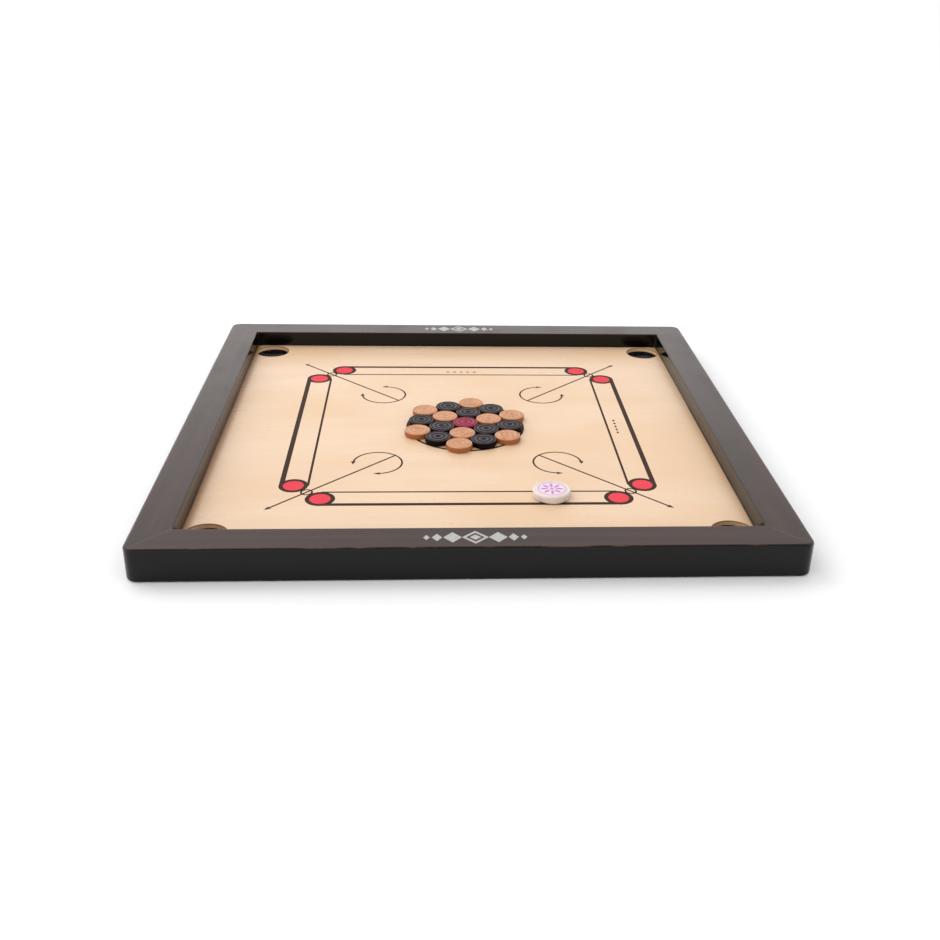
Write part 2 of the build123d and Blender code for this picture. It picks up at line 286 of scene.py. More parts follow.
def rail_lacquer(name, turn):
    """Satin black-brown lacquer over open-grained wood that runs along the rail."""
    shader = Shader(name)
    figure = shader.noise(shader.stretched((3.0, 90.0, 90.0), turn), 4.0, 0.6, 0.4)
    pores = shader.noise(shader.stretched((25.0, 900.0, 900.0), turn), 2.0, 0.7)
    handling = shader.noise(shader.stretched((18.0, 18.0, 18.0)), 5.0, 0.6)
    colour = shader.blend(shader.step(figure, 0.35, 0.7), srgb(40, 22, 15), srgb(56, 31, 22))
    x, y, z = shader.axes()
    reach_x, reach_y = shader.math("ABSOLUTE", x), shader.math("ABSOLUTE", y)
    reach = shader.math("MAXIMUM", reach_x, reach_y)

    # Below the top, outside and in the opening, the lacquer is painted blacker as shade
    off_top = shader.step(z, rail_top - ARRIS_RADIUS, rail_top - 1.2 * MM, 1.0, 0.0)
    inside = shader.step(reach, opening_half + 0.3 * MM, opening_half + EASED_EDGE, 1.0, 0.0)
    colour = shader.blend(shader.math("MAXIMUM", off_top, inside), colour, srgb(9, 7, 6))

    # Over the outer arris and just below it a dark band is painted as the shade line under the edge, and its
    # crown is rubbed in places
    outside = shader.step(reach, outer_half - 2.6 * MM, outer_half - 1.2 * MM)
    # Painted shade: a dark band on the outer arris and the face just below it
    arris_shade_band = shader.step(z, rail_top - 5.6 * MM, rail_top - 4.0 * MM)
    colour = shader.blend(shader.math("MULTIPLY", arris_shade_band, outside), colour, srgb(6, 4, 3))
    crown = shader.step(reach, outer_half - ARRIS_RADIUS, outer_half - ARRIS_RADIUS + 0.7 * MM)
    crown = shader.math("MULTIPLY", crown, shader.step(z, rail_top - 0.9 * MM, rail_top - 0.3 * MM))
    rubbed = shader.math("MULTIPLY", crown, shader.step(handling, 0.52, 0.66))
    colour = shader.blend(rubbed, colour, srgb(86, 66, 54))

    # The mitre shows as a hairline at each corner, with a paler band beside it painted as highlight
    mitre = shader.math("ABSOLUTE", shader.math("SUBTRACT", reach_x, reach_y))
    mitre_highlight = shader.step(mitre, 1.2 * MM, 3.2 * MM, 0.4, 0.0)
    mitre_highlight = shader.math("MULTIPLY", mitre_highlight, shader.step(handling, 0.3, 0.6))
    colour = shader.blend(mitre_highlight, colour, srgb(98, 78, 64))
    joint = shader.step(mitre, 0.3 * MM, 0.8 * MM, 1.0, 0.0)
    colour = shader.blend(joint, colour, srgb(8, 5, 4))

    # The walls of the opening are polished by use
    satin = shader.step(handling, 0.3, 0.75, 0.2, 0.33)
    roughness = shader.math("SUBTRACT", satin, shader.math("MULTIPLY", inside, 0.1))
    shader.set(Base_Color=colour, Roughness=roughness, IOR=1.32)
    height = shader.math("SUBTRACT", shader.math("MULTIPLY", pores, 0.4), joint)
    shader.bump(height, 0.1 * MM, 0.3)
    return shader.material


PLY_COUNT = 5.0
POCKET_RADIUS = 22.0 * MM


def playing_surface_ply():
    """Pale birch-faced plywood: polished on top, raw beneath, with its plies showing in the pocket holes."""
    shader = Shader("playing_surface_ply")
    x, y, z = shader.axes()
    figure = shader.noise(shader.stretched((2.2, 14.0, 14.0)), 4.0, 0.55, 0.8)
    clouds = shader.noise(shader.stretched((5.0, 9.0, 9.0)), 3.0, 0.5)
    fibres = shader.noise(shader.stretched((14.0, 520.0, 520.0)), 3.0, 0.6)
    flecks = shader.step(shader.noise(shader.stretched((60.0, 700.0, 60.0)), 1.0), 0.66, 0.76)
    broad_figure = shader.step(figure, 0.3, 0.7)
    veneer = shader.blend(broad_figure, srgb(224, 192, 161), srgb(229, 200, 171))
    veneer = shader.blend(shader.step(clouds, 0.38, 0.7, 0.0, 0.8), veneer, srgb(221, 186, 148))
    veneer = shader.blend(shader.step(fibres, 0.35, 0.75, 0.0, 0.3), veneer, srgb(216, 182, 147))
    veneer = shader.blend(shader.math("MULTIPLY", flecks, 0.25), veneer, srgb(205, 168, 130))
    raw = shader.blend(broad_figure, srgb(196, 160, 116), srgb(214, 180, 136))
    raw = shader.blend(shader.step(fibres, 0.3, 0.8, 0.0, 0.6), raw, srgb(176, 138, 96))

    # Every other ply shows its darker end grain
    depth = shader.math("MULTIPLY", shader.math("SUBTRACT", z, panel_underside), PLY_COUNT / panel_thickness)
    odd = shader.step(shader.math("FRACT", shader.math("MULTIPLY", depth, 0.5)), 0.46, 0.54)
    plies = shader.blend(odd, srgb(240, 202, 156), srgb(216, 168, 118))
    on_top = shader.step(z, surface - 0.4 * MM, surface - 0.2 * MM)
    below = shader.step(z, panel_underside + 0.01 * MM, panel_underside + 0.1 * MM, 1.0, 0.0)
    colour = shader.blend(on_top, plies, veneer)
    colour = shader.blend(below, colour, raw)

    # Along the side rails it is painted browner as shade from the walls, most on the left
    reach_x, reach_y = shader.math("ABSOLUTE", x), shader.math("ABSOLUTE", y)
    painted_wall_shade = shader.step(reach_x, opening_half - 11.0 * MM, opening_half - 0.5 * MM)
    painted_wall_shade = shader.math("MULTIPLY", painted_wall_shade, shader.step(x, -100.0 * MM, 100.0 * MM, 0.85, 0.35))
    colour = shader.blend(shader.math("MULTIPLY", painted_wall_shade, on_top), colour, srgb(168, 114, 68))
    # A patchy dark line along its edge is painted as the shadow in the gap at the foot of the walls
    painted_gap_shadow = shader.step(reach_x, opening_half - 1.6 * MM, opening_half - 0.6 * MM)
    patchy = shader.math("MULTIPLY", on_top, shader.step(clouds, 0.3, 0.6, 0.5, 0.9))
    colour = shader.blend(shader.math("MULTIPLY", painted_gap_shadow, patchy), colour, srgb(74, 50, 32))

    # The pocket holes' upper edges are darker brown
    from_pocket_x = shader.math("SUBTRACT", reach_x, pocket_middle.x)
    from_pocket_y = shader.math("SUBTRACT", reach_y, pocket_middle.y)
    from_pocket = shader.length(from_pocket_x, from_pocket_y)
    rim = shader.step(from_pocket, POCKET_RADIUS + 0.4 * MM, POCKET_RADIUS + 1.0 * MM, 0.75, 0.0)
    rim = shader.math("MULTIPLY", rim, shader.step(z, surface - 1.6 * MM, surface - 0.8 * MM))
    colour = shader.blend(rim, colour, srgb(112, 76, 46))

    # Only the upper face is polished
    polish = shader.step(clouds, 0.3, 0.7, 0.24, 0.32)
    unpolished = shader.math("SUBTRACT", 1.0, on_top)
    roughness = shader.math("ADD", polish, shader.math("MULTIPLY", unpolished, 0.4))
    shader.set(Base_Color=colour, Roughness=roughness, IOR=1.3)
    shader.bump(fibres, 0.04 * MM, 0.15)
    return shader.material


def bare_wood(name, light, dark, turn):
    """Sawn wood with its grain along X, or turned from it about Z."""
    shader = Shader(name)
    rings = shader.noise(shader.stretched((2.0, 60.0, 60.0), turn), 3.0, 0.5, 1.0)
    fibres = shader.noise(shader.stretched((30.0, 900.0, 900.0), turn), 3.0, 0.7)
    colour = shader.blend(shader.step(rings, 0.4, 0.62), light, dark)
    colour = shader.blend(shader.step(fibres, 0.4, 0.9, 0.0, 0.5), colour, dark)
    shader.set(Base_Color=colour, Roughness=0.7)
    shader.bump(fibres, 0.2 * MM, 0.6)
    return shader.material


LAND_RADII = (5.0 * MM, 10.1 * MM)
GROOVE_RADII = (2.4 * MM, 7.6 * MM, 12.6 * MM)
SHOULDER_INSET = 1.3 * MM
TOOL_MARK_PITCH = 0.6 * MM


def turned_wood(name, turn, tones, groove_shade_strength, polish, refraction):
    """A turned man: grain across its face, paler lands painted as highlight between grooves painted as shade,
    and a side painted darker as shade.
    """
    face, land_highlight, groove_shade_and_patches, side = tones
    shader = Shader(name)
    centre = middle_of(name)
    grain = shader.noise(shader.stretched((40.0, 420.0, 120.0), turn), 4.0, 0.6, 0.6)
    patch = shader.noise(shader.stretched((70.0, 90.0, 70.0), turn), 2.0)
    radius = shader.radius_from(centre.x, centre.y)

    def round_line(colour, line_radius, inner, outer, amount, tone):
        """Tints a round line, full up to inner from its middle and gone by outer."""
        gap = shader.math("ABSOLUTE", shader.math("SUBTRACT", radius, line_radius))
        return shader.blend(shader.step(gap, inner, outer, amount, 0.0), colour, tone)

    colour = face
    # The lands are painted paler as highlight
    for land_radius in LAND_RADII:
        colour = round_line(colour, land_radius, 0.6 * MM, 1.4 * MM, 1.0, land_highlight)
    # The grooves are painted darker as shade
    for groove_radius in GROOVE_RADII:
        colour = round_line(colour, groove_radius, 0.4 * MM, 1.2 * MM, groove_shade_strength, groove_shade_and_patches)
    # A pale ring at the shoulder is painted as highlight
    colour = round_line(colour, man_radius - SHOULDER_INSET, 0.3 * MM, 0.9 * MM, 0.8, land_highlight)
    colour = shader.blend(shader.step(grain, 0.4, 0.75, 0.0, 0.7), colour, side)
    colour = shader.blend(shader.step(patch, 0.4, 0.75, 0.0, 0.35), colour, groove_shade_and_patches)
    # The outer edge of the face and the side are painted darker as shade; the same side tone also darkens the
    # grain
    rim = shader.step(radius, man_radius - 0.6 * MM, man_radius - 0.05 * MM)
    colour = shader.blend(rim, colour, side)
    roughness = shader.step(grain, 0.3, 0.8, polish, polish + 0.16)
    shader.set(Base_Color=colour, Roughness=roughness, IOR=refraction)
    tool_marks = shader.math("SINE", shader.math("MULTIPLY", radius, 2 * pi / TOOL_MARK_PITCH))
    tool_marks = shader.math("MULTIPLY", tool_marks, 0.12)
    shader.bump(shader.math("ADD", shader.math("MULTIPLY", grain, 0.7), tool_marks), 0.1 * MM, 0.4)
    return shader.material


STRIKER_FACE_RADIUS = 15.6 * MM


def striker_acrylic():
    """Polished milky acrylic with a lilac tint, finely scuffed."""
    shader = Shader("striker_acrylic")
    radius = shader.radius_from(striker_middle.x, striker_middle.y)
    cloud = shader.noise(shader.stretched((60.0, 60.0, 60.0)), 3.0)
    scuffs = shader.noise(shader.stretched((500.0, 70.0, 200.0), 0.6), 3.0, 0.7)
    body = shader.blend(shader.step(cloud, 0.3, 0.7), srgb(214, 200, 193), srgb(224, 211, 204))
    face = shader.blend(shader.step(cloud, 0.3, 0.7), srgb(224, 196, 212), srgb(232, 208, 220))
    on_face = shader.step(radius, STRIKER_FACE_RADIUS, STRIKER_FACE_RADIUS + 1.2 * MM, 1.0, 0.0)
    colour = shader.blend(on_face, body, face)
    roughness = shader.step(scuffs, 0.4, 0.8, 0.08, 0.22)
    shader.set(Base_Color=colour, Roughness=roughness, IOR=1.45)
    shader.set(Subsurface_Weight=0.3, Subsurface_Scale=3.0 * MM, Subsurface_Radius=(1.0, 0.85, 0.9))
    shader.bump(scuffs, 0.02 * MM, 0.2)
    return shader.material


def ink(name, light, dark):
    """Screen-printed ink, a little uneven."""
    shader = Shader(name)
    mottle = shader.noise(shader.stretched((900.0, 900.0, 900.0)), 3.0, 0.6)
    drift = shader.noise(shader.stretched((14.0, 14.0, 14.0)), 2.0)
    colour = shader.blend(shader.step(mottle, 0.35, 0.75, 0.0, 0.5), dark, light)
    colour = shader.blend(shader.step(drift, 0.35, 0.7, 0.0, 0.4), colour, light)
    shader.set(Base_Color=colour, Roughness=shader.step(mottle, 0.3, 0.8, 0.39, 0.53), IOR=1.13)
    shader.bump(mottle, 0.01 * MM, 0.3)
    return shader.material


def silver_foil():
    """Hot-stamped silver foil, slightly broken up where the lacquer's grain shows through."""
    shader = Shader("silver_foil")
    breaks = shader.noise(shader.stretched((300.0, 1400.0, 300.0)), 3.0, 0.7)
    broken = shader.step(breaks, 0.52, 0.72, 0.0, 0.6)
    colour = shader.blend(broken, srgb(172, 170, 168), srgb(104, 98, 94))
    shader.set(Base_Color=colour, Metallic=0.3, Roughness=shader.step(breaks, 0.3, 0.7, 0.3, 0.5))
    shader.bump(breaks, 0.02 * MM, 0.4)
    return shader.material


def zinc(name, light, dark, turn):
    """Zinc-plated steel with a drawn grain and dull patches."""
    shader = Shader(name)
    drawn = shader.noise(shader.stretched((60.0, 1600.0, 400.0), turn), 2.0, 0.6)
    patches = shader.noise(shader.stretched((120.0, 120.0, 120.0)), 4.0, 0.6)
    colour = shader.blend(shader.step(patches, 0.35, 0.7), light, dark)
    shader.set(Base_Color=colour, Metallic=1.0, Roughness=shader.step(drawn, 0.25, 0.8, 0.28, 0.5))
    shader.bump(drawn, 0.03 * MM, 0.4)
    return shader.material


def moulded_black():
    """Matt black moulded plastic."""
    shader = Shader("moulded_black")
    grain = shader.cells(shader.stretched((1.0, 1.0, 1.0)), 1800.0)
    haze = shader.noise(shader.stretched((90.0, 90.0, 90.0)), 3.0)
    colour = shader.blend(shader.step(haze, 0.3, 0.7), srgb(24, 24, 25), srgb(33, 33, 34))
    shader.set(Base_Color=colour, Roughness=shader.step(grain, 0.1, 0.7, 0.5, 0.62))
    shader.bump(grain, 0.05 * MM, 0.3)
    return shader.material


def net_cord():
    """Braided black nylon cord."""
    shader = Shader("net_cord")
    braid = shader.cells(shader.stretched((1.0, 1.0, 1.6)), 2600.0)
    fade = shader.noise(shader.stretched((160.0, 160.0, 160.0)), 2.0)
    colour = shader.blend(shader.step(fade, 0.3, 0.7), srgb(24, 23, 26), srgb(40, 39, 43))
    # The braid's hollows are painted darker as shade
    colour = shader.blend(shader.step(braid, 0.1, 0.6, 0.5, 0.0), colour, srgb(14, 14, 15))
    shader.set(Base_Color=colour, Roughness=0.62, Sheen_Weight=0.3, Sheen_Roughness=0.4)
    shader.bump(braid, 0.12 * MM, 0.7)
    return shader.material


TWILL_PITCH = 0.9 * MM
WARP_PITCH = 0.5 * MM


def hem_tape():
    """Black twill tape."""
    shader = Shader("hem_tape")
    x, y, _ = shader.axes()
    twill = shader.math("SINE", shader.math("MULTIPLY", shader.math("ADD", x, y), 2 * pi / TWILL_PITCH))
    warp = shader.math("SINE", shader.math("MULTIPLY", x, 2 * pi / WARP_PITCH))
    weave = shader.math("MULTIPLY", twill, warp)
    fluff = shader.noise(shader.stretched((700.0, 700.0, 700.0)), 2.0)
    # The raised threads are painted lighter as highlight and the dips between them darker as shade
    colour = shader.blend(shader.step(weave, -0.6, 0.6), srgb(20, 20, 22), srgb(38, 37, 41))
    shader.set(Base_Color=colour, Roughness=shader.step(fluff, 0.3, 0.7, 0.7, 0.85), Sheen_Weight=0.25)
    shader.bump(weave, 0.1 * MM, 0.6)
    return shader.material


def pale_floor():
    """The studio's plain pale floor."""
    shader = Shader("pale_floor")
    haze = shader.noise(shader.stretched((3.0, 3.0, 3.0)), 2.0)
    colour = shader.blend(haze, srgb(247, 247, 247), srgb(250, 250, 250))
    shader.set(Base_Color=colour, Roughness=0.9, Specular_IOR_Level=0.0)
    return shader.material


# ---------------------------------------------------------------------------------------------
# Mesh building
# ---------------------------------------------------------------------------------------------

# An arrow head's length at its notch, as a share of the whole
HEAD_NOTCH = 0.85
KNOT_FLATNESS = 0.8
# A direction that no cord runs along
SLANT = Vector((0.13, 0.31, 1.0))


def add_object(name, mesh, material, body=None):
    """Puts a mesh in the scene with its material, riding on a body."""
    mesh.materials.append(material)
    piece = bpy.data.objects.new(name, mesh)
    bpy.context.scene.collection.objects.link(piece)
    if body:
        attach(piece, body)
    return piece


def slab(name, outlines, bottom, top, material, body):
    """A thin flat piece between two heights, made of plan outlines that meet edge to edge."""
    build = bmesh.new()
    for outline in outlines:
        build.faces.new([build.verts.new((x, y, bottom)) for x, y in outline])
    bmesh.ops.remove_doubles(build, verts=build.verts, dist=1e-7)
    for face in build.faces:
        if face.normal.z > 0:
            face.normal_flip()
    raised = bmesh.ops.extrude_face_region(build, geom=list(build.faces))["geom"]
    for part in raised:
        if isinstance(part, bmesh.types.BMVert):
            part.co.z = top
    bmesh.ops.recalc_face_normals(build, faces=build.faces)
    mesh = bpy.data.meshes.new(name)
    build.to_mesh(mesh)
    build.free()
    return add_object(name, mesh, material, body)


def polar(x, y, radius, angle):
    """The plan point at this radius and angle from (x, y)."""
    return (x + radius * cos(angle), y + radius * sin(angle))


def band(x, y, inner, outer, start=0.0, end=2 * pi, steps=96):
    """Outlines that cover a ring, or a part of one, round (x, y)."""
    outlines = []
    for i in range(steps):
        a = start + (end - start) * i / steps
        b = start + (end - start) * (i + 1) / steps
        near, far = polar(x, y, inner, a), polar(x, y, outer, a)
        next_far, next_near = polar(x, y, outer, b), polar(x, y, inner, b)
        outlines.append([near, far, next_far, next_near])
    return outlines


def disc(x, y, radius, steps=72):
    """The outline of a disc round (x, y)."""
    return [[polar(x, y, radius, 2 * pi * i / steps) for i in range(steps)]]


def stroke(start, end, width):
    """The outline of a straight line."""
    (ax, ay), (bx, by) = start, end
    length = hypot(bx - ax, by - ay)
    nx, ny = -(by - ay) / length * width / 2, (bx - ax) / length * width / 2
    return [[(ax + nx, ay + ny), (ax - nx, ay - ny), (bx - nx, by - ny), (bx + nx, by + ny)]]


def arrow_head(tip, direction, length, width):
    """A barbed arrow head that ends at tip, with a notch in its back."""
    dx, dy = direction[0] / hypot(*direction), direction[1] / hypot(*direction)
    back = (tip[0] - dx * length, tip[1] - dy * length)
    notch = (tip[0] - dx * length * HEAD_NOTCH, tip[1] - dy * length * HEAD_NOTCH)
    left = (back[0] - dy * width / 2, back[1] + dx * width / 2)
    right = (back[0] + dy * width / 2, back[1] - dx * width / 2)
    return [[tip, left, notch], [tip, notch, right]]


def lozenge(x, y, half_across, half_along):
    """The outline of an upright diamond."""
    return [[(x + half_across, y), (x, y + half_along), (x - half_across, y), (x, y - half_along)]]


def quarter_turned(outlines, quarters):
    """The outlines turned about the middle of the board by quarter turns."""
    turned = outlines
    for _ in range(quarters):
        turned = [[(-y, x) for x, y in outline] for outline in turned]
    return turned


def ball_shape():
    """The points and faces of a small ball of radius 1."""
    build = bmesh.new()
    bmesh.ops.create_icosphere(build, subdivisions=2, radius=1.0)
    points = [vert.co.copy() for vert in build.verts]
    faces = [[vert.index for vert in face.verts] for face in build.faces]
    build.free()
    return points, faces


def knot(build, ball, place, radius):
    """A slightly flattened ball at a crossing of two cords."""
    points, faces = ball
    verts = [build.verts.new(place + Vector((p.x, p.y, p.z * KNOT_FLATNESS)) * radius) for p in points]
    for face in faces:
        build.faces.new([verts[i] for i in face])


def tube(build, points, radius, sides=6):
    """A round bar along points, closed at both ends."""
    rings = []
    for i, point in enumerate(points):
        ahead = points[min(i + 1, len(points) - 1)] - points[max(i - 1, 0)]
        across = ahead.cross(SLANT).normalized()
        over = ahead.cross(across).normalized()
        ring = []
        for k in range(sides):
            angle = 2 * pi * k / sides
            ring.append(build.verts.new(point + (across * cos(angle) + over * sin(angle)) * radius))
        rings.append(ring)
    for first, second in zip(rings, rings[1:]):
        for k in range(sides):
            n = (k + 1) % sides
            build.faces.new((first[k], first[n], second[n], second[k]))
    build.faces.new(list(reversed(rings[0])))
    build.faces.new(rings[-1])


# ---------------------------------------------------------------------------------------------
# Printed markings on the playing surface
# ---------------------------------------------------------------------------------------------

# The ink starts just under the surface. Where films cross, each stands at its own height.
SUNK = 0.01 * MM
LINE_RISE = 0.03 * MM
ARC_RISE = 0.025 * MM
RING_RISE = 0.045 * MM
OUTER_LINE = 203.5 * MM
OUTER_LINE_WIDTH = 5.6 * MM
INNER_LINE = 175.0 * MM
INNER_LINE_WIDTH = 2.7 * MM
CIRCLE_NEAR = 159.4 * MM
CIRCLE_FAR = 190.6 * MM
CIRCLE_RADIUS = 15.9 * MM
SPOT_RADIUS = 11.2 * MM
SMALL_CIRCLE = 175.0 * MM
SMALL_CIRCLE_RADIUS = 6.9 * MM
ARROW_TAIL = 82.0 * MM
ARROW_TIP = 215.0 * MM
ARROW_WIDTH = 2.3 * MM
ARC_WIDTH = 2.1 * MM
ARC_CENTRE = 102.4 * MM
ARC_RADIUS = 27.6 * MM
HEAD_LENGTH = 8.0 * MM
HEAD_WIDTH = 6.0 * MM
HEAD_PAST_ARC = 4.0 * MM
# The shaft ends inside the head, this share of its length short of the tip
SHAFT_INSET = 0.6
CENTRE_RING_OUTER = 71.8 * MM
CENTRE_RING_INNER = 68.4 * MM
CENTRE_SPOT_RADIUS = 15.5 * MM
ROW_INSET = 18.0 * MM
ROW_PITCH = 9.0 * MM
ROW_LOZENGE = (1.7 * MM, 3.2 * MM)


def print_film(name, outlines, rise, material):
    """A film of ink on the playing surface."""
    slab(name, outlines, surface - SUNK, surface + rise, material, "board")


def print_base_lines(dark):
    """The two base lines on each side."""
    for side, quarters in SIDES.items():
        lines = stroke((OUTER_LINE, -CIRCLE_NEAR), (OUTER_LINE, CIRCLE_NEAR), OUTER_LINE_WIDTH)
        lines += stroke((INNER_LINE, -CIRCLE_NEAR), (INNER_LINE, CIRCLE_NEAR), INNER_LINE_WIDTH)
        print_film(f"print_base_lines_{side}", quarter_turned(lines, quarters), LINE_RISE, dark)


def print_corner(corner, quarter, dark, red):
    """A corner's two base circles, and its arrow with a small circle and a three-quarter arc."""
    sx, sy = CORNERS[corner]
    places = [(sx * CIRCLE_NEAR, sy * CIRCLE_FAR), (sx * CIRCLE_FAR, sy * CIRCLE_NEAR)]
    rings = [outline for x, y in places for outline in band(x, y, SPOT_RADIUS, CIRCLE_RADIUS)]
    spots = [outline for x, y in places for outline in disc(x, y, SPOT_RADIUS)]
    print_film(f"print_base_circles_{corner}", rings, RING_RISE, dark)
    print_film(f"print_base_spots_{corner}", spots, RING_RISE, red)
    small_inner = SMALL_CIRCLE_RADIUS - ARC_WIDTH
    small = band(sx * SMALL_CIRCLE, sy * SMALL_CIRCLE, small_inner, SMALL_CIRCLE_RADIUS)
    print_film(f"print_corner_circle_{corner}", small, RING_RISE, dark)

    neck = ARROW_TIP - HEAD_LENGTH * SHAFT_INSET / sqrt(2)
    shaft = stroke((sx * ARROW_TAIL, sy * ARROW_TAIL), (sx * neck, sy * neck), ARROW_WIDTH)
    print_film(f"print_arrow_{corner}", shaft, LINE_RISE, dark)
    x, y = sx * ARC_CENTRE, sy * ARC_CENTRE
    head = (HEAD_LENGTH, HEAD_WIDTH)
    heads = arrow_head((sx * ARROW_TIP, sy * ARROW_TIP), (sx, sy), *head)
    heads += arrow_head((x + sx * HEAD_PAST_ARC, y + sy * ARC_RADIUS), (sx, 0), *head)
    heads += arrow_head((x + sx * ARC_RADIUS, y + sy * HEAD_PAST_ARC), (0, sy), *head)
    print_film(f"print_arrow_heads_{corner}", heads, RING_RISE, dark)
    start = quarter * pi / 2
    half = ARC_WIDTH / 2
    arc = band(x, y, ARC_RADIUS - half, ARC_RADIUS + half, start, start + 1.5 * pi, 72)
    print_film(f"print_arc_{corner}", arc, ARC_RISE, dark)


def print_markings(dark, red):
    """Base lines, corners, two short rows of lozenges and the centre."""
    print_base_lines(dark)
    for quarter, corner in enumerate(("front_right", "back_right", "back_left", "front_left")):
        print_corner(corner, quarter, dark, red)
    row_reach = OUTER_LINE - ROW_INSET
    row = [lozenge(row_reach, place * ROW_PITCH, *ROW_LOZENGE)[0] for place in range(-2, 3)]
    for quarters in (0, 1):
        print_film(f"print_lozenge_row_{quarters + 1}", quarter_turned(row, quarters), LINE_RISE, dark)
    ring = band(0, 0, CENTRE_RING_INNER, CENTRE_RING_OUTER, steps=192)
    print_film("print_centre_ring", ring, LINE_RISE, dark)
    spot = disc(pack_middle.x, pack_middle.y, CENTRE_SPOT_RADIUS)
    print_film("print_centre_spot", spot, LINE_RISE, red)


# ---------------------------------------------------------------------------------------------
# Ornaments: a chain of lozenges on two rails, a rosette on the striker
# ---------------------------------------------------------------------------------------------

# Millimetres. The middle lozenge is hollow, with a small one in it; the rest dwindle to both sides:
# their distance from the middle, then half their size across and along.
CHAIN_OUTER = 13.0
CHAIN_HOLLOW = 9.0
CHAIN_HEART = 5.5
CHAIN = ((22.0, 9.0, 10.5), (37.0, 5.0, 7.5), (47.0, 3.2, 5.0))
CHAIN_SQUASH = 0.95
ROSETTE_HEART = 2.0
ROSETTE_PETALS = 8
PETAL_ROOT = 3.4
PETAL_TIP = 12.6
# Points along a petal's edge: the radius, then the angle from the petal's middle
PETAL_EDGE = ((5.6, 0.20), (8.2, 0.22), (10.8, 0.12))
ROSETTE_RING = (14.3, 15.1)


def chain_lozenge(x, y, half_across, half_along):
    """A lozenge of the rail chain, in millimetres but for y."""
    return lozenge(x * MM, y, half_across * MM, half_along * MM * CHAIN_SQUASH)


def hollow(outer, inner):
    """The sides of a hollow shape, from its outer and inner outlines."""
    count = len(outer)
    return [[outer[i], outer[(i + 1) % count], inner[(i + 1) % count], inner[i]] for i in range(count)]


def stamp_rail_chain(name, y, material):
    """A chain of lozenges on top of a rail."""
    outer = chain_lozenge(0, y, CHAIN_OUTER, CHAIN_OUTER)[0]
    inner = chain_lozenge(0, y, CHAIN_HOLLOW, CHAIN_HOLLOW)[0]
    outlines = hollow(outer, inner) + chain_lozenge(0, y, CHAIN_HEART, CHAIN_HEART)
    for distance, half_across, half_along in CHAIN:
        for side in (-1, 1):
            outlines += chain_lozenge(side * distance, y, half_across, half_along)
    slab(name, outlines, rail_top - SUNK, rail_top + LINE_RISE, material, "board")


def print_rosette(material):
    """Slim petals and a ring on the striker's face."""
    x, y = striker_middle.x, striker_middle.y
    outlines = disc(x, y, ROSETTE_HEART * MM, 24)
    for i in range(ROSETTE_PETALS):
        angle = 2 * pi * i / ROSETTE_PETALS
        root, tip = polar(x, y, PETAL_ROOT * MM, angle), polar(x, y, PETAL_TIP * MM, angle)
        one_edge = [polar(x, y, radius * MM, angle - lean) for radius, lean in PETAL_EDGE]
        other_edge = [polar(x, y, radius * MM, angle + lean) for radius, lean in reversed(PETAL_EDGE)]
        outlines.append([root, *one_edge, tip, *other_edge])
    outlines += band(x, y, *[radius * MM for radius in ROSETTE_RING])
    slab("striker_rosette", outlines, striker_top - SUNK, striker_top + LINE_RISE, material, "striker")


# ---------------------------------------------------------------------------------------------
# Pocket nets
# ---------------------------------------------------------------------------------------------

NET_COLUMNS = 40
NET_ROWS = 11
# Rows lie a little closer together towards the drawstring
ROW_SPACING = 0.9
KNOT_WANDER = 0.35 * MM
CORD_RADIUS = 0.45 * MM
KNOT_RADIUS = 0.8 * MM
# Half section of a net, in millimetres, from the hem down the neck, out to the belly and in to the drawstring
NET_PROFILE = [
    (23.2, 10.8), (23.2, 8.6), (24.4, 7.2), (27.4, 6.3), (28.5, 4.6),
    (27.4, 2.6), (24.0, 1.8), (17.0, 1.6), (10.0, 1.5), (1.8, 1.6),
]
DRAWSTRING_RADIUS = 1.3 * CORD_RADIUS
DRAWSTRING_KNOT_RADIUS = 1.9 * MM
# Millimetres: the radius and height of the drawstring's loop, and the height of its knot
DRAWSTRING_LOOP = (3.0, 1.9)
DRAWSTRING_KNOT_HEIGHT = 1.8
HEM_INNER = 22.9 * MM
HEM_OUTER = 31.5 * MM
HEM_THICKNESS = 0.98 * MM


def along_profile(share):
    """The radius and height, in millimetres, at this share of the net profile's length."""
    lengths = [hypot(b[0] - a[0], b[1] - a[1]) for a, b in zip(NET_PROFILE, NET_PROFILE[1:])]
    left = share * sum(lengths)
    for (a, b), length in zip(zip(NET_PROFILE, NET_PROFILE[1:]), lengths):
        if left <= length:
            t = left / length
            return (a[0] + (b[0] - a[0]) * t, a[1] + (b[1] - a[1]) * t)
        left -= length
    return NET_PROFILE[-1]


def weave_net(build, ball, centre, random):
    """Cords that lean both ways down the profile, with a knot wherever two cross."""
    wander = {}
    for column in range(NET_COLUMNS):
        for row in range(NET_ROWS + 1):
            reach = KNOT_WANDER if 0 < row < NET_ROWS else 0.0
            wander[(column, row)] = Vector([random.uniform(-reach, reach) for _ in range(2)] + [0])

    def knot_at(column, row):
        """Columns follow the right-leaning cords. A left-leaning cord steps back one each row."""
        radius, height = along_profile((row / NET_ROWS) ** ROW_SPACING)
        angle = 2 * pi * (column + row / 2) / NET_COLUMNS
        x, y = polar(centre.x, centre.y, radius * MM, angle)
        return Vector((x, y, height * MM)) + wander[(column % NET_COLUMNS, row)]

    for column in range(NET_COLUMNS):
        leaning_right = [knot_at(column, row) for row in range(NET_ROWS + 1)]
        leaning_left = [knot_at(column - row, row) for row in range(NET_ROWS + 1)]
        for route in (leaning_right, leaning_left):
            tube(build, route, CORD_RADIUS)
        for row in range(NET_ROWS):
            knot(build, ball, knot_at(column, row), KNOT_RADIUS)


